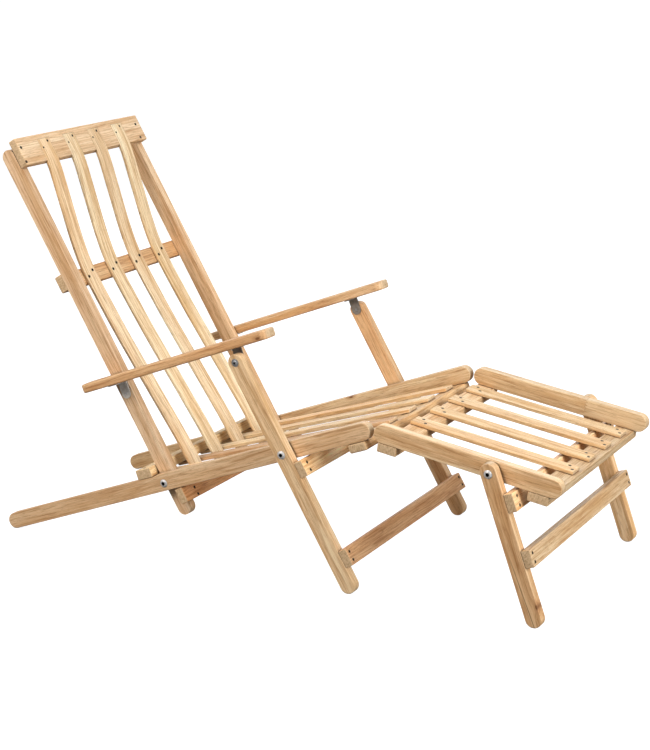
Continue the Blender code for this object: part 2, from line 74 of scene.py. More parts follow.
SEAT = frame_matrix(PIVOT_A, SEAT_TILT)
PIVOT_B = SEAT @ Vector((LEG_AT, 0, 0))
BACK = frame_matrix(PIVOT_A, LEAN)
PIVOT_C = BACK @ Vector((ARM_RISE, 0, 0))
LEG = frame_matrix(PIVOT_B, LEAN)
PIVOT_D = LEG @ Vector((ARM_RISE, 0, 0))
ARM = frame_matrix(PIVOT_C, SEAT_TILT)
FOOT = frame_matrix(PIVOT_F, FOOT_TILT)
FOOT_LEG = frame_matrix(PIVOT_F, FOOT_LEG_LEAN)
SLAT = frame_matrix(SEAT @ Vector((-0.062, 0, 0.0200)), SEAT_TILT - SLAT_FALL)
CROSS = Matrix.Rotation(math.radians(90), 4, "Z")


# ---- node helpers ---------------------------------------------------------------------------
def set_stops(node, stops):
    elements = node.color_ramp.elements
    while len(elements) < len(stops):
        elements.new(0.5)
    for element, (place, value) in zip(elements, stops):
        element.position = place
        element.color = value


class Tree:
    """A short way to write a material's node tree."""

    def __init__(self, name):
        self.mat = bpy.data.materials.new(name)
        self.mat.use_nodes = True
        self.nodes = self.mat.node_tree.nodes
        self.links = self.mat.node_tree.links
        self.shader = self.nodes["Principled BSDF"]

    def put(self, socket, value):
        if isinstance(value, bpy.types.NodeSocket):
            self.links.new(value, socket)
        else:
            socket.default_value = value

    def attribute(self, name, output="Vector"):
        node = self.nodes.new("ShaderNodeAttribute")
        node.attribute_name = name
        return node.outputs[output]

    def math(self, operation, a, b=0.0, c=0.0, clamp=False):
        node = self.nodes.new("ShaderNodeMath")
        node.operation = operation
        node.use_clamp = clamp
        self.put(node.inputs[0], a)
        self.put(node.inputs[1], b)
        self.put(node.inputs[2], c)
        return node.outputs[0]

    def vec(self, operation, a, b=(0, 0, 0)):
        node = self.nodes.new("ShaderNodeVectorMath")
        node.operation = operation
        self.put(node.inputs[0], a)
        self.put(node.inputs[1], b)
        return node.outputs["Value" if operation in ("LENGTH", "DISTANCE") else "Vector"]

    def noise(self, vector, scale=1.0, detail=2.0, rough=0.5, output="Fac"):
        node = self.nodes.new("ShaderNodeTexNoise")
        self.put(node.inputs["Vector"], vector)
        node.inputs["Scale"].default_value = scale
        node.inputs["Detail"].default_value = detail
        node.inputs["Roughness"].default_value = rough
        return node.outputs[output]

    def ramp(self, fac, stops):
        node = self.nodes.new("ShaderNodeValToRGB")
        node.color_ramp.interpolation = "EASE"
        set_stops(node, stops)
        self.put(node.inputs["Fac"], fac)
        return node.outputs["Color"]

    def split(self, vector):
        node = self.nodes.new("ShaderNodeSeparateXYZ")
        self.put(node.inputs[0], vector)
        return node.outputs

    def combine(self, **parts):
        node = self.nodes.new("ShaderNodeCombineXYZ")
        for axis, value in parts.items():
            self.put(node.inputs[axis], value)
        return node.outputs[0]

    def span(self, fac, low, high, to_low=0.0, to_high=1.0):
        node = self.nodes.new("ShaderNodeMapRange")
        node.interpolation_type = "SMOOTHSTEP"
        self.put(node.inputs["Value"], fac)
        for i, value in enumerate((low, high, to_low, to_high)):
            node.inputs[i + 1].default_value = value
        return node.outputs["Result"]

    def mix(self, fac, a, b, blend="MIX"):
        node = self.nodes.new("ShaderNodeMix")
        node.data_type = "RGBA"
        node.blend_type = blend
        self.put(node.inputs[0], fac)
        self.put(node.inputs[6], a)
        self.put(node.inputs[7], b)
        return node.outputs[2]

    def bump(self, height, strength, distance):
        node = self.nodes.new("ShaderNodeBump")
        self.put(node.inputs["Height"], height)
        node.inputs["Strength"].default_value = strength
        node.inputs["Distance"].default_value = distance
        return node.outputs["Normal"]


def rgb(hex_code):
    """Linear colour of an sRGB hex code."""
    parts = [int(hex_code[i:i + 2], 16) / 255 for i in (0, 2, 4)]
    return tuple(p / 12.92 if p <= 0.04045 else ((p + 0.055) / 1.055) ** 2.4 for p in parts) + (1,)


DARK_WOOD, MID_WOOD, PALE_WOOD = rgb("D2A570"), rgb("E3BE90"), rgb("F3DAB2")
LATE_WOOD, STREAK_WOOD, LINE_WOOD, PORE_WOOD = rgb("BE8D5A"), rgb("B78551"), rgb("9C6C3C"), rgb("7F5430")
END_PALE, END_MID, END_DARK, END_PORE = rgb("E6CDAA"), rgb("D0B48E"), rgb("AE8F6A"), rgb("8A6E50")
# the first colour here is a painted highlight laid on the eased edges
EDGE_HIGHLIGHT, SEAM_GLUE, KNOT_CORE, KNOT_RIM = rgb("F2CE9C"), rgb("7A4A22"), rgb("4A2A14"), rgb("9A5F2C")
# the second colour here is the painted shade laid where boards meet
VEIN_DARK, JOINT_SHADE_DARK = rgb("6A4220"), rgb("5E3A1E")
KNOT_RADIUS, KNOT_REACH = 0.0042, 0.016      # metres: the dark knot, and the grain that swerves round it
JOINT_SHADE_REACH = 0.012                           # metres: how far the painted shade of a neighbouring board reaches
RINGS_PER_METRE = 190.0
NO_MARK = (9.0, 9.0, 9.0)                    # farther than any board reaches
VEINS = {"footrest_leg_left": (0.0198, 0.0515)}    # metres across the board, and how it slants
VEIN_DEEPENS = (-0.155, -0.215)                    # metres along the board


def wood_material():
    """Oiled light hardwood, steered by attributes of the mesh.

    "grain" holds the metres along, through and across the board, "tint" is its colour factor, partly its own
    tone and partly painted light and shade, and "seed" picks its figure. "marks" holds where a finger joint
    starts along the board, and a knot's place along and across it.
    "vein" is the distance from a dark vein, "endgrain" is 1 on cut ends and "edge" is 1 on eased edges, which
    get a painted highlight.
    """
    t = Tree("oiled_wood")
    grain = t.attribute("grain")
    along_board, _, across_board = t.split(grain)
    seed = t.attribute("seed", "Fac")
    joint_at, knot_along, knot_across = t.split(t.attribute("marks"))
    # past a finger joint another stick of wood begins
    teeth = t.math("MULTIPLY", t.math("PINGPONG", across_board, 0.004), 1.6)
    past = t.math("SUBTRACT", t.math("ADD", along_board, teeth), joint_at)
    other = t.span(past, -0.0003, 0.0003)
    seam = t.math("MULTIPLY", t.span(past, -0.0012, 0.0), t.span(past, 0.0012, 0.0))
    seed = t.math("MULTIPLY_ADD", other, 5.3, seed)
    shift = {axis: t.math("MULTIPLY", seed, step) for axis, step in (("X", 1.7), ("Y", 0.73), ("Z", 0.31))}
    place = t.vec("ADD", grain, t.combine(**shift))
    # the grain wanders slowly along the board, and swerves round a knot
    sway = t.noise(t.vec("MULTIPLY", place, (2.6, 7.0, 7.0)), 1.0, 2.0, 0.5, "Color")
    sway = t.vec("MULTIPLY", t.vec("SUBTRACT", sway, (0.5, 0.5, 0.5)), (0.0, 0.018, 0.018))
    du = t.math("MULTIPLY", t.math("SUBTRACT", along_board, knot_along), 0.5)
    dw = t.math("SUBTRACT", across_board, knot_across)
    reach = t.math("SQRT", t.math("ADD", t.math("MULTIPLY", du, du), t.math("MULTIPLY", dw, dw)))
    knot = t.span(reach, KNOT_RADIUS, KNOT_RADIUS / 3)
    swerve = t.math("MULTIPLY", t.span(reach, KNOT_REACH, KNOT_REACH / 8), 0.006)
    bent = t.vec("ADD", t.vec("ADD", place, sway), t.combine(Z=swerve))
    broad = t.noise(t.vec("MULTIPLY", bent, (1.5, 38.0, 38.0)), 1.0, 1.5, 0.5)
    streak = t.noise(t.vec("MULTIPLY", bent, (7.0, 210.0, 210.0)), 1.0, 3.0, 0.65)
    hair = t.noise(t.vec("MULTIPLY", bent, (2.2, 95.0, 95.0)), 1.0, 2.0, 0.55)
    line = t.math("ABSOLUTE", t.math("SUBTRACT", hair, 0.56))
    fine = t.noise(t.vec("MULTIPLY", bent, (26.0, 620.0, 620.0)), 1.0, 2.0, 0.7)
    pores = t.noise(t.vec("MULTIPLY", bent, (90.0, 1700.0, 1700.0)), 1.0, 1.0, 0.5)
    patch = t.noise(t.vec("MULTIPLY", place, (7.0, 16.0, 16.0)), 1.0, 1.0, 0.5)
    # growth rings round a pith that lies outside the board
    flat = t.vec("ADD", t.vec("MULTIPLY", grain, (0.020, 1.0, 1.0)), sway)
    pith_y = t.math("MULTIPLY_ADD", t.math("SINE", t.math("MULTIPLY", seed, 37.0)), 0.03, 0.01)
    pith_z = t.math("MULTIPLY_ADD", t.math("COSINE", t.math("MULTIPLY", seed, 23.0)), 0.03, 0.045)
    radius = t.vec("DISTANCE", flat, t.combine(Y=pith_y, Z=pith_z))
    ring = t.math("FRACT", t.math("MULTIPLY_ADD", radius, RINGS_PER_METRE, t.math("MULTIPLY", broad, 1.8)))
    late = t.math("MULTIPLY", t.span(ring, 0.35, 0.86), t.span(ring, 1.0, 0.9))

    body = t.ramp(broad, [(0.28, DARK_WOOD), (0.50, MID_WOOD), (0.72, PALE_WOOD)])
    body = t.mix(t.span(patch, 0.30, 0.75, 0.0, 0.35), body, PALE_WOOD)
    body = t.mix(t.math("MULTIPLY", late, 0.38), body, LATE_WOOD)
    body = t.mix(t.span(streak, 0.48, 0.70, 0.0, 0.80), body, STREAK_WOOD)
    body = t.mix(t.span(streak, 0.46, 0.30, 0.0, 0.55), body, PALE_WOOD)
    body = t.mix(t.span(line, 0.012, 0.0, 0.0, 0.55), body, LINE_WOOD)
    body = t.mix(t.span(fine, 0.50, 0.72, 0.0, 0.55), body, LINE_WOOD)
    body = t.mix(t.span(pores, 0.64, 0.74, 0.0, 0.5), body, PORE_WOOD)
    body = t.mix(t.math("MULTIPLY", other, 0.18), body, PALE_WOOD)
    # end grain: greyer, with the rings and pores seen head on
    end = t.attribute("endgrain", "Fac")
    cut = t.noise(t.vec("MULTIPLY", place, (60.0, 900.0, 900.0)), 1.0, 3.0, 0.7)
    cloud = t.noise(t.vec("MULTIPLY", place, (60.0, 160.0, 160.0)), 1.0, 2.0, 0.6)
    face = t.ramp(t.math("MULTIPLY_ADD", late, 0.10, t.math("MULTIPLY", cloud, 0.90)),
                  [(0.20, END_PALE), (0.42, END_MID), (0.75, END_DARK)])
    face = t.mix(t.span(cut, 0.48, 0.70, 0.0, 0.35), face, END_PORE)
    # each board's tint: partly its own tone, partly painted light and shade
    body = t.mix(1.0, body, t.attribute("tint", "Color"), "MULTIPLY")
    warm = t.mix(t.span(end, 0.55, 0.92), body, face)
    # painted highlight: eased edges are lightened towards a pale colour
    edge_highlight = t.attribute("edge", "Fac")
    warm = t.mix(t.math("MULTIPLY", edge_highlight, 0.22), warm, EDGE_HIGHLIGHT)
    warm = t.mix(t.math("MULTIPLY", seam, 0.45), warm, SEAM_GLUE)
    warm = t.mix(t.math("MULTIPLY", knot, 0.85), warm, KNOT_CORE)
    warm = t.mix(t.span(reach, 0.011, 0.003, 0.0, 0.35), warm, KNOT_RIM)
    # a long dark vein, faint at its start
    vein = t.span(t.math("ABSOLUTE", t.attribute("vein", "Fac")), 0.0019, 0.0002)
    vein = t.math("MULTIPLY", vein, t.span(along_board, *VEIN_DEEPENS, 0.0, 0.72))
    warm = t.mix(t.math("MULTIPLY", vein, t.span(streak, 0.25, 0.55, 0.6, 1.0)), warm, VEIN_DARK)
    # painted shade: an ambient-occlusion mask darkens the wood where boards meet and shade each other
    joint_shade = t.nodes.new("ShaderNodeAmbientOcclusion")
    joint_shade.samples = 12
    joint_shade.inputs["Distance"].default_value = JOINT_SHADE_REACH
    warm = t.mix(t.span(joint_shade.outputs["AO"], 0.80, 0.22, 0.0, 0.85), warm, JOINT_SHADE_DARK)
    t.put(t.shader.inputs["Base Color"], warm)
    gloss = t.math("MULTIPLY_ADD", broad, -0.20, 0.62)
    t.put(t.shader.inputs["Roughness"], t.math("MULTIPLY_ADD", fine, 0.12, gloss))
    t.shader.inputs["Specular IOR Level"].default_value = 0.5
    height = t.math("ADD", t.math("MULTIPLY", fine, 0.7), t.math("MULTIPLY", pores, -0.5))
    height = t.math("ADD", height, t.math("MULTIPLY", streak, 0.5))
    height = t.math("SUBTRACT", height, t.span(line, 0.012, 0.0, 0.0, 0.5))
    t.put(t.shader.inputs["Normal"], t.bump(height, 0.35, 0.0006))
    return t.mat


def metal_material(name, colour, dark, rough, spangle, metallic=1.0):
    """Zinc or steel: cloudy tone, faint spangle and fine scratches."""
    t = Tree(name)
    place = t.nodes.new("ShaderNodeTexCoord").outputs["Object"]
    cells = t.nodes.new("ShaderNodeTexVoronoi")
    t.put(cells.inputs["Vector"], place)
    cells.inputs["Scale"].default_value = 210.0
    cloud = t.noise(place, 95.0, 4.0, 0.6)
    flake = t.math("MULTIPLY", t.math("FRACT", t.math("MULTIPLY", cells.outputs["Distance"], 3.0)), spangle)
    blend = t.math("ADD", t.span(cloud, 0.35, 0.7, 0.0, 0.6), flake, clamp=True)
    t.put(t.shader.inputs["Base Color"], t.mix(blend, colour, dark))
    t.shader.inputs["Metallic"].default_value = metallic
    t.put(t.shader.inputs["Roughness"], t.math("MULTIPLY_ADD", cloud, 0.22, rough))
    scratch = t.noise(t.vec("MULTIPLY", place, (900.0, 120.0, 2200.0)), 1.0, 2.0, 0.6)
    t.put(t.shader.inputs["Normal"], t.bump(scratch, 0.12, 0.0002))
    return t.mat


WOOD = wood_material()
GALVANISED = metal_material("galvanised_steel", rgb("F0EEEA"), rgb("C2C0BC"), 0.46, 0.35, 0.12)
DULL_STEEL = metal_material("dull_steel", rgb("8F8B87"), rgb("6A6763"), 0.42, 0.30, 0.35)
BRIGHT = metal_material("bright_zinc", rgb("E6E7E8"), rgb("B9BBBE"), 0.28, 0.08, 0.45)
DARK_ZINC = metal_material("dark_zinc", rgb("A3A6AA"), rgb("70747A"), 0.30, 0.15, 0.55)
BLACKENED = metal_material("screw_steel", rgb("6A5A4C"), rgb("2E2620"), 0.38, 0.10)
# near-black painted shade, put inside screw and bolt recesses and in the rims round screw heads
RECESS_SHADE = metal_material("recess_shadow", rgb("1C1A1A"), rgb("0C0B0B"), 0.60, 0.0)


# ---- wood pieces ----------------------------------------------------------------------------
SMALL_FACE = 1.5e-4                          # square metres: smaller faces are eased edges
# the colour factor of each board on red, green and blue: partly its own tone, partly painted light and shade
# that lightens boards lying in shade and darkens others
BOARD_TONE_AND_LIGHT = {
    "arm_left": (0.88, 0.74, 0.62), "arm_right": (0.98, 0.97, 0.99), "back_slat_1": (1.15, 1.2, 1.24),
    "back_slat_2": (1.13, 1.25, 1.34), "back_slat_3": (1.09, 1.17, 1.25), "back_slat_4": (1.14, 1.26, 1.34),
    "footrest_front_crossbar": (0.81, 0.83, 0.84), "footrest_leg_left": (0.9, 0.84, 0.78),
    "footrest_leg_lower_bar": (0.87, 0.91, 0.96), "footrest_leg_right": (1.15, 1.19, 1.24),
    "footrest_leg_upper_bar": (1.34, 1.34, 1.34), "footrest_rail_left": (0.98, 0.97, 0.95),
    "footrest_rail_right": (0.9, 0.92, 0.92), "footrest_rear_crossbar": (1.03, 1.02, 1.01),
    "footrest_slat_1": (1.0, 0.99, 0.9), "footrest_slat_2": (1.03, 1.02, 0.95),
    "footrest_slat_3": (1.0, 0.99, 0.9), "footrest_slat_4": (0.99, 0.98, 0.91),
    "footrest_slat_5": (1.06, 1.12, 1.14), "front_leg_left": (1.02, 1.06, 1.09),
    "front_leg_lower_bar": (0.85, 0.69, 0.58), "front_leg_right": (0.91, 0.8, 0.71),
    "front_leg_upper_bar": (1.34, 1.26, 1.1), "head_rail": (1.04, 1.02, 1.02),
    "lower_stop_bar": (0.95, 0.7, 0.52), "mid_rail": (0.91, 0.78, 0.65), "rear_stop_bar": (1.22, 1.34, 1.34),
    "seat_front_crossbar": (1.03, 1.01, 0.94), "seat_rail_left": (0.94, 0.94, 0.97),
    "seat_rail_right": (0.92, 0.95, 0.96), "seat_slat_1": (1.17, 1.21, 1.18),
    "seat_slat_2": (0.89, 0.8, 0.74), "seat_slat_3": (1.26, 1.32, 1.32), "seat_slat_4": (1.17, 1.21, 1.18),
    "seat_slat_5": (1.2, 1.14, 1.0), "stile_left": (0.97, 0.98, 1.06), "stile_right": (1.06, 1.03, 1.04),
}


def bow_at(s):
    """Rear face of a back slat in front of the pivot line, smooth through the stations."""
    s = min(max(s, BOW[0][0]), BOW[-1][0])
    last = len(BOW) - 2
    k = max(i for i in range(last + 1) if BOW[i][0] <= s + 1e-9)
    (s0, q0), (s1, q1) = BOW[k], BOW[k + 1]
    before = BOW[max(k - 1, 0)]
    after = BOW[min(k + 2, last + 1)]
    t = (s - s0) / (s1 - s0)
    m0 = (q1 - before[1]) / (s1 - before[0]) * (s1 - s0)
    m1 = (after[1] - q0) / (after[0] - s0) * (s1 - s0)
    return ((2 * t**3 - 3 * t**2 + 1) * q0 + (t**3 - 2 * t**2 + t) * m0
            + (-2 * t**3 + 3 * t**2) * q1 + (t**3 - t**2) * m1)


def write_attribute(mesh, name, kind, domain, values):
    layer = mesh.attributes.new(name, kind, domain)
    key = {"FLOAT_VECTOR": "vector", "FLOAT_COLOR": "color"}.get(kind, "value")
    layer.data.foreach_set(key, np.asarray(values, np.float32).ravel())


def write_same(mesh, name, kind, value):
    """Gives every vertex the same value."""
    write_attribute(mesh, name, kind, "POINT", np.tile(value, (len(mesh.vertices), 1)))


def new_object(name, data):
    obj = bpy.data.objects.new(name, data)
    bpy.context.scene.collection.objects.link(obj)
    return obj


def wood_piece(node, local, seed, bowed, marks):
    """Stands for a CAD board: the same shape, smooth eased edges, and the grain running along it."""
    mesh = frame["nodes"][node].data.copy()
    mesh.name = "wood_" + node
    mesh.transform(local.inverted())
    bm = bmesh.new()
    bm.from_mesh(mesh)
    bmesh.ops.remove_doubles(bm, verts=bm.verts, dist=2e-5)
    bmesh.ops.dissolve_limit(bm, angle_limit=math.radians(0.6), verts=bm.verts, edges=bm.edges)
    bmesh.ops.recalc_face_normals(bm, faces=bm.faces)
    bm.to_mesh(mesh)
    bm.free()
    mesh.shade_smooth()
    mesh.set_sharp_from_angle(angle=math.radians(50))
    for name in [a.name for a in mesh.attributes if a.name in ("custom_normal", "grain")]:
        mesh.attributes.remove(mesh.attributes[name])
    points = np.zeros(len(mesh.vertices) * 3, np.float32)
    mesh.vertices.foreach_get("co", points)
    points = points.reshape(-1, 3)
    grain = points.copy()
    if bowed:
        grain[:, 2] += [bow_at(float(s)) for s in points[:, 0]]
    ends = np.abs(np.array([tuple(n.vector) for n in mesh.corner_normals])[:, 0])
    big = min(0.25 * max(p.area for p in mesh.polygons), SMALL_FACE)
    edge = []
    for polygon in mesh.polygons:
        edge += [0.0 if polygon.area > big else 1.0] * polygon.loop_total
    write_attribute(mesh, "grain", "FLOAT_VECTOR", "POINT", grain)
    write_attribute(mesh, "endgrain", "FLOAT", "CORNER", ends)
    write_attribute(mesh, "edge", "FLOAT", "CORNER", np.array(edge) * (1 - ends))
    # the board's colour factor, partly its own tone and partly painted light and shade
    tone_and_light = BOARD_TONE_AND_LIGHT.get(node, (1.0, 1.0, 1.0))
    write_same(mesh, "tint", "FLOAT_COLOR", (*tone_and_light, 1.0))
    write_same(mesh, "seed", "FLOAT", seed)
    write_same(mesh, "marks", "FLOAT_VECTOR", marks)
    across, slant = VEINS.get(node, (NO_MARK[0], 0.0))
    write_attribute(mesh, "vein", "FLOAT", "POINT", grain[:, 2] - across - slant * grain[:, 0])
    mesh.materials.clear()
    mesh.materials.append(WOOD)
    mesh.transform(local)
    obj = new_object("wood_" + node, mesh)
    weighted = obj.modifiers.new("even_shading", "WEIGHTED_NORMAL")
    weighted.keep_sharp = True
    weighted.weight = 60
    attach(obj, BODY_OF[node])
    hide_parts(node)


def build_wood():
    boards = []
    for label, _ in SIDES:
        boards += [("seat_rail_" + label, SEAT), ("stile_" + label, BACK), ("front_leg_" + label, LEG),
                   ("arm_" + label, ARM), ("footrest_rail_" + label, FOOT),
                   ("footrest_leg_" + label, FOOT_LEG)]
    for local, names in ((SEAT, ("rear_stop_bar", "seat_front_crossbar")),
                         (BACK, ("head_rail", "mid_rail", "lower_stop_bar")),
                         (LEG, ("front_leg_upper_bar", "front_leg_lower_bar")),
                         (FOOT, ("footrest_rear_crossbar", "footrest_front_crossbar")),
                         (FOOT_LEG, ("footrest_leg_upper_bar", "footrest_leg_lower_bar"))):
        boards += [(name, local @ CROSS) for name in names]
    for i in range(5):
        boards += [(f"seat_slat_{i + 1}", SLAT), (f"footrest_slat_{i + 1}", FOOT)]
    for i in range(4):
        boards.append((f"back_slat_{i + 1}", BACK))
    marks = {"arm_left": (0.449, 0.4395, 0.0375), "footrest_rail_right": (0.008, 9.0, 9.0),
             "seat_rail_right": (9.0, 0.2416, 0.0209), "footrest_leg_left": (9.0, -0.2995, -0.0168)}
    for i, (node, local) in enumerate(boards):
        wood_piece(node, local, i * 0.618 + 0.37, "back_slat" in node, marks.get(node, NO_MARK))


def wood_plug(node, local, pivot, side):
    """A flush plug that closes a rail's bore on its inner face, with the rail's own figure across it."""
    place = facing(Vector((pivot.x, side * RAIL_IN, pivot.z)), (0, -side, 0))
    points, faces, _ = turned(place, PLUG, WOOD, 32)
    mesh = bpy.data.meshes.new("plug_" + node)
    mesh.from_pydata([tuple(p) for p in points], [], faces)
    back = local.inverted()
    rail = bpy.data.objects["wood_" + node].data.attributes
    write_attribute(mesh, "grain", "FLOAT_VECTOR", "POINT", [tuple(back @ p) for p in points])
    write_same(mesh, "endgrain", "FLOAT", 0.0)
    write_same(mesh, "edge", "FLOAT", 0.0)
    write_same(mesh, "marks", "FLOAT_VECTOR", tuple(rail["marks"].data[0].vector))
    write_same(mesh, "tint", "FLOAT_COLOR", tuple(rail["tint"].data[0].color))
    write_same(mesh, "seed", "FLOAT", rail["seed"].data[0].value)
    write_same(mesh, "vein", "FLOAT", NO_MARK[0])
    mesh.materials.append(WOOD)
    obj = new_object("plug_" + node, mesh)
    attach(obj, BODY_OF[node])


def build_plugs():
    for label, side in SIDES:
        wood_plug("seat_rail_" + label, SEAT, PIVOT_B, side)
        wood_plug("footrest_rail_" + label, FOOT, PIVOT_F, side)


# ---- turned and joined pieces ---------------------------------------------------------------
SCREW_RADIUS = 0.0032
SCREW_TURN = 1.37                            # radians between one screw's recess and the next
BAR_FACE = 0.0403                            # just proud of a crossbar's face, from the pivots' plane
# (radius, height) profiles, in metres
PLUG = ((0.0052, -0.0006), (0.0052, 0.00004), (0.0050, 0.00006))
BOLT_WASHER = ((0.0042, 0.0003), (0.0094, 0.0003), (0.0097, 0.0006), (0.0097, 0.0010), (0.0093, 0.0013),
               (0.0072, 0.0015))
BOLT_HEAD = ((0.0074, 0.0012), (0.0078, 0.0018), (0.0077, 0.0026), (0.0070, 0.0032), (0.0056, 0.0035),
             (0.0046, 0.0036))
BOLT_SOCKET = ((0.0043, 0.0036), (0.0040, 0.00365), (0.0038, 0.0014))
NUT = ((0.0072, 0.0003), (0.0074, 0.0006), (0.0074, 0.0030), (0.0062, 0.0040))
PAN_HEAD = ((0.0040, 0.0003), (0.0060, 0.0003), (0.0063, 0.0010), (0.0060, 0.0020), (0.0050, 0.0028),
            (0.0030, 0.0032))
THIN_WASHER = ((0.0042, 0.0002), (0.0090, 0.0002), (0.0092, 0.0006), (0.0088, 0.0009), (0.0062, 0.0010))


def join_piece(name, parts, body):
    """One mesh object from (vertices, faces, material) parts, riding on a body."""
    mesh = bpy.data.meshes.new(name)
    vertices, faces, slots, materials = [], [], [], []
    for points, polygons, material in parts:
        if material not in materials:
            materials.append(material)
        base = len(vertices)
        vertices += [tuple(p) for p in points]
        faces += [tuple(base + i for i in polygon) for polygon in polygons]
        slots += [materials.index(material)] * len(polygons)
    mesh.from_pydata(vertices, [], faces)
    for material in materials:
        mesh.materials.append(material)
    mesh.polygons.foreach_set("material_index", slots)
    mesh.update()
    mesh.shade_smooth()
    mesh.set_sharp_from_angle(angle=math.radians(32))
    obj = new_object(name, mesh)
    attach(obj, body)
    return obj


def turned(place, profile, material, steps=36, hex_within=0.0):
    """(vertices, faces, material) of a shape turned about the local +Z axis.

    The profile holds (radius, height). Radii under hex_within are turned into six flats.
    """
    points, polygons = [], []
    sixth = math.pi / 3
    for radius, height in profile:
        for i in range(steps):
            angle = 2 * math.pi * i / steps
            r = radius
            if radius < hex_within:
                r = radius / math.cos((angle + sixth / 2) % sixth - sixth / 2)
            points.append(place @ Vector((r * math.cos(angle), r * math.sin(angle), height)))
    for k in range(len(profile) - 1):
        for i in range(steps):
            j = (i + 1) % steps
            polygons.append((k * steps + i, k * steps + j, (k + 1) * steps + j, (k + 1) * steps + i))
    polygons.append(tuple(range(steps))[::-1])
    polygons.append(tuple((len(profile) - 1) * steps + i for i in range(steps)))
    return points, polygons, material


def facing(origin, normal, spin=0.0):
    """Puts local +Z along the normal at the origin."""
    aim = Vector(normal).to_track_quat("Z", "Y").to_matrix().to_4x4()
    return Matrix.Translation(origin) @ aim @ Matrix.Rotation(spin, 4, "Z")


def cross_recess(place, arm, half, heights):
    """Two dark crossed bars of painted shade for a cross recess, arm long and half wide each way, between two
    heights.
    """
    corners = [(-arm, -half), (arm, -half), (arm, half), (-arm, half)]
    faces = [(3, 2, 1, 0), (4, 5, 6, 7)] + [(i, (i + 1) % 4, 4 + (i + 1) % 4, 4 + i) for i in range(4)]
    parts = []
    for turn in (0, math.pi / 2):
        spot = place @ Matrix.Rotation(turn, 4, "Z")
        points = [spot @ Vector((x, y, h)) for h in heights for x, y in corners]
        parts.append((points, faces, RECESS_SHADE))
    return parts


def screw(origin, normal, spin):
    """A countersunk screw head: a dished disc with a cross recess, in a dark rim of painted shadow."""
    place = facing(origin, normal, spin)
    size = SCREW_RADIUS
    # the rim is a near-black painted shadow round the head
    rim = [(size * 1.18, -0.0004), (size * 1.18, 0.00006), (size * 1.0, 0.00008), (size * 0.98, -0.0002)]
    dish = [(size * 0.94, -0.0004), (size * 0.94, 0.00012), (size * 0.80, 0.00026), (size * 0.35, 0.00034)]
    parts = [turned(place, rim, RECESS_SHADE, 20), turned(place, dish, BLACKENED, 20)]
    # the cross recess is near-black painted shade
    return parts + cross_recess(place, size * 0.62, size * 0.13, (0.0002, 0.00042))


def screw_set(name, body, places):
    parts = []
    for i, (origin, normal) in enumerate(places):
        parts += screw(origin, normal, i * SCREW_TURN)
    join_piece(name, parts, body)


def along(local, u, y, w):
    return local @ Vector((u, y, w))


def up(local):
    return (local.to_3x3() @ Vector((0, 0, 1))).normalized()


def down(local):
    return (local.to_3x3() @ Vector((0, 0, -1))).normalized()


def screw_legs():
    """The legs' crossbars carry two screws at each end, on the front faces."""
    leg = ((0.0392, 0.2800), (0.0579, 0.2800), (0.2588, 0.2885), (0.2788, 0.2885))
    foot_leg = ((0.0600, 0.2800), (0.0812, 0.2797), (0.1845, 0.2885), (0.2045, 0.2885))
    for name, local, body, screws in (("leg", LEG, "front_legs", leg),
                                      ("foot_leg", FOOT_LEG, "footrest_legs", foot_leg)):
        places = [(along(local, -u, side * y, -BAR_FACE), down(local)) for u, y in screws for side in (-1, 1)]
        screw_set("screws_" + name, body, places)


def build_screws():
    lanes5 = [i * LANE for i in (-2, -1, 0, 1, 2)]
    lanes4 = [(i - 1.5) * LANE for i in range(4)]
    screw_legs()
    # backrest: pairs set a little askew, as on the real one
    places = []
    for side in (-1, 1):
        for u, y in ((0.8600, 0.2400 if side < 0 else 0.2284), (0.8234, 0.2455 if side < 0 else 0.2229)):
            places.append((along(BACK, u, side * y, -0.0407), down(BACK)))
        for u, y in ((-0.0403, 0.2278), (-0.0581, 0.2259)):
            places.append((along(BACK, u, side * y, -BAR_FACE), down(BACK)))
        for k in (-1, 1):
            places.append((along(BACK, 0.532 + k * 0.011, side * 0.2365, 0.0407), up(BACK)))
    for lane in lanes4:
        for u, y in ((0.8633, 0.0115), (0.8488, -0.0138)):
            places.append((along(BACK, u, lane + y, -SLAT_FACE_HEAD), down(BACK)))
        for u, y in ((0.5395, 0.0100), (0.5265, -0.0125)):
            places.append((along(BACK, u, lane + y, -SLAT_FACE_MID), down(BACK)))
        for k in (-1, 1):
            places.append((along(BACK, -0.0448 + k * 0.007, lane, -0.0183), down(BACK)))
    screw_set("screws_backrest", "backrest", places)
    # footrest slats, both ends
    places = []
    for lane in lanes5:
        for k in (-1, 1):
            places.append((along(FOOT, -0.2465 + k * 0.007, lane - k * 0.0098, FOOT_SLAT_TOP), up(FOOT)))
            places.append((along(FOOT, 0.1098 + k * 0.0064, lane - k * 0.0093, FOOT_SLAT_TOP), up(FOOT)))
    screw_set("screws_footrest", "footrest", places)
    # seat: the rear bar above the slats, and the crossbar from below
    places = []
    for lane in lanes5:
        places.append((along(SEAT, -0.0489, lane, 0.0450), up(SEAT)))
    for side in (-1, 1):
        places.append((along(SEAT, 0.540, side * 0.2625, -0.0398), down(SEAT)))
        places.append((along(SEAT, -0.0489, side * 0.2625, 0.0450), up(SEAT)))
    screw_set("screws_seat", "seat_frame", places)


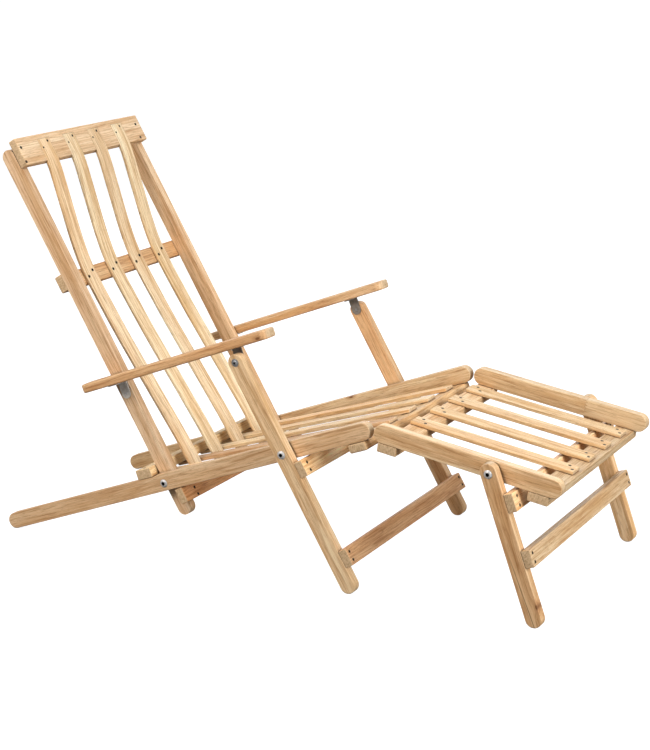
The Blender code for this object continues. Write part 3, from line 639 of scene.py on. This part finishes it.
def pivot_bolt(node, pivot, side, face, reach, nut=None):
    """Washer, domed head with a six-sided socket, and the shaft; it stands for the plain CAD bolt."""
    place = facing(Vector((pivot.x, side * face, pivot.z)), (0, side, 0))
    shaft = [(0.0040, -reach), (0.0040, 0.0012)]
    # the six-sided socket is lined with near-black painted shade
    parts = [turned(place, BOLT_WASHER, BRIGHT), turned(place, BOLT_HEAD, BRIGHT),
             turned(place, BOLT_SOCKET, RECESS_SHADE, hex_within=0.0042), turned(place, shaft, BRIGHT, 24)]
    if nut is not None:
        base = facing(Vector((pivot.x, side * nut, pivot.z)), (0, -side, 0))
        parts.append(turned(base, NUT, BRIGHT, hex_within=0.02))
    obj = join_piece("bolt_" + node, parts, BODY_OF[node])
    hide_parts(node)


def plain_bolt(node, pivot, start, direction, reach, material, slot):
    """A pan-head bolt with a cross recess; it stands for the plain CAD bolt."""
    place = facing(Vector((pivot.x, start, pivot.z)), (0, direction, 0), 0.5)
    shaft = [(0.0038, -reach), (0.0038, 0.0006)]
    parts = [turned(place, PAN_HEAD, material), turned(place, shaft, material, 24)]
    if slot == "dark_zinc":
        parts.append(turned(place, THIN_WASHER, material))
    # the cross recess is near-black painted shade
    parts += cross_recess(place, 0.0034, 0.0008, (0.0026, 0.00335))
    obj = join_piece("bolt_" + node, parts, BODY_OF[node])
    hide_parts(node)


def build_bolts():
    for label, side in SIDES:
        pivot_bolt("stile_pivot_bolt_" + label, PIVOT_A, side, RAIL_OUT, RAIL_OUT - STILE_IN, STILE_IN)
        pivot_bolt("leg_pivot_bolt_" + label, PIVOT_B, side, LEG_OUT, 0.0478)
        pivot_bolt("footrest_pivot_bolt_" + label, PIVOT_F, side, LEG_OUT, 0.0478)
        plain_bolt("arm_front_bolt_" + label, PIVOT_D, side * LEG_OUT, side, 0.0250, DARK_ZINC, "dark_zinc")
        plain_bolt("arm_rear_bolt_" + label, PIVOT_C, side * STILE_IN, -side, 0.0251, BRIGHT, "bright_steel")


def dress_metal():
    """CAD brackets and hinges keep their shape and get a galvanised finish."""
    for node, obj in frame["nodes"].items():
        if "bracket" in node or "hinge" in node:
            for slot in obj.material_slots:
                slot.material = DULL_STEEL if "front_bracket" in node else GALVANISED


# ---- stage ----------------------------------------------------------------------------------
FLOOR = -0.0006                              # just under the feet
FLOOR_GREY, FLOOR_GLOW = 0.30, 0.94


def build_stage():
    """A white floor that curves up into a wall all round, far from the chair. It lights nothing itself."""
    turns, flat, bend, top = 96, 16.0, 8.0, 26.0
    profile = [(3.0, 0.0), (8.0, 0.0), (flat, 0.0)]
    profile += [(flat + bend * math.sin(math.radians(a)), bend * (1 - math.cos(math.radians(a))))
                for a in range(10, 91, 10)]
    profile.append((flat + bend, top))
    vertices = [(0, 0, FLOOR)]
    for radius, height in profile:
        vertices += [(radius * math.cos(2 * math.pi * i / turns), radius * math.sin(2 * math.pi * i / turns),
                      FLOOR + height) for i in range(turns)]
    faces = [(0, 1 + i, 1 + (i + 1) % turns) for i in range(turns)]
    for k in range(len(profile) - 1):
        low, high = 1 + k * turns, 1 + (k + 1) * turns
        faces += [(low + i, high + i, high + (i + 1) % turns, low + (i + 1) % turns) for i in range(turns)]
    mesh = bpy.data.meshes.new("floor")
    mesh.from_pydata(vertices, [], faces)
    mesh.shade_smooth()
    floor = new_object("floor", mesh)
    floor.visible_diffuse = False
    floor.visible_glossy = False
    t = Tree("pale_floor")
    t.shader.inputs["Base Color"].default_value = (FLOOR_GREY, FLOOR_GREY, FLOOR_GREY, 1)
    t.shader.inputs["Roughness"].default_value = 0.9
    t.shader.inputs["Specular IOR Level"].default_value = 0.0
    t.shader.inputs["Emission Color"].default_value = (1, 1, 1, 1)
    t.shader.inputs["Emission Strength"].default_value = FLOOR_GLOW
    mesh.materials.append(t.mat)


def area_light(name, place, target, size, power, colour=(1, 1, 1)):
    data = bpy.data.lights.new(name, "AREA")
    data.shape = "DISK"
    data.size = size
    data.energy = power
    data.color = colour
    lamp = new_object(name, data)
    lamp.location = place
    lamp.visible_camera = False
    lamp.rotation_euler = (Vector(target) - Vector(place)).to_track_quat("-Z", "Y").to_euler()


def build_world():
    """A soft sky, dim below the horizon and a little brighter towards the top."""
    world = bpy.data.worlds.new("studio")
    bpy.context.scene.world = world
    world.use_nodes = True
    nodes, links = world.node_tree.nodes, world.node_tree.links
    way = nodes.new("ShaderNodeTexCoord")
    split = nodes.new("ShaderNodeSeparateXYZ")
    fall = nodes.new("ShaderNodeValToRGB")
    scale = nodes.new("ShaderNodeMapRange")
    links.new(way.outputs["Generated"], split.inputs[0])
    links.new(split.outputs[2], scale.inputs["Value"])
    scale.inputs["From Min"].default_value = -1.0
    links.new(scale.outputs["Result"], fall.inputs["Fac"])
    set_stops(fall, ((0.0, (0.105, 0.096, 0.088, 1)), (0.46, (0.145, 0.137, 0.127, 1)),
                     (0.54, (0.22, 0.22, 0.22, 1)), (0.75, (0.30, 0.30, 0.31, 1)),
                     (1.0, (0.38, 0.39, 0.41, 1))))
    links.new(fall.outputs["Color"], nodes["Background"].inputs["Color"])
    nodes["Background"].inputs["Strength"].default_value = 1.0


def build_lights():
    area_light("key", (-1.3, -3.3, 2.9), (0, 0, 0.4), 2.4, 138, (1.0, 0.905, 0.82))
    area_light("side", (4.2, -0.8, 2.0), (0, 0, 0.4), 2.6, 187, (1.0, 0.975, 0.945))
    area_light("top", (0.2, 0.8, 4.4), (0, 0, 0.3), 3.0, 36, (0.64, 1.0, 1.50))
    area_light("backdrop", (-1.6, 4.6, 1.9), (0, 0, 0.6), 4.5, 105)
    bpy.context.scene.view_settings.view_transform = "Standard"


CAMERA_AT = (2.0123, -3.5126, 1.4877)
CAMERA_LENS = 97.42154                       # millimetres, on a sensor 36 mm wide


def build_camera():
    """Looks down on the chair from its front left quarter."""
    data = bpy.data.cameras.new("camera")
    data.sensor_fit = "HORIZONTAL"
    data.sensor_width = 36.0
    data.lens = CAMERA_LENS
    camera = new_object("camera", data)
    az, el, roll = math.radians(29.39), math.radians(15.10), math.radians(1.23)
    right = Vector((math.cos(az), math.sin(az), 0))
    ahead = Vector((-math.sin(az) * math.cos(el), math.cos(az) * math.cos(el), -math.sin(el)))
    down = ahead.cross(right)
    across = right * math.cos(roll) + down * math.sin(roll)
    down = down * math.cos(roll) - right * math.sin(roll)
    aim = Matrix((across, -down, -ahead)).transposed().to_4x4()
    turn = Matrix.Rotation(math.radians(0.3), 4, "Y") @ aim
    camera.matrix_world = Matrix.Translation(CAMERA_AT) @ turn
    bpy.context.scene.camera = camera


build_wood()
build_plugs()
build_bolts()
build_screws()
dress_metal()
build_stage()
build_world()
build_lights()
build_camera()
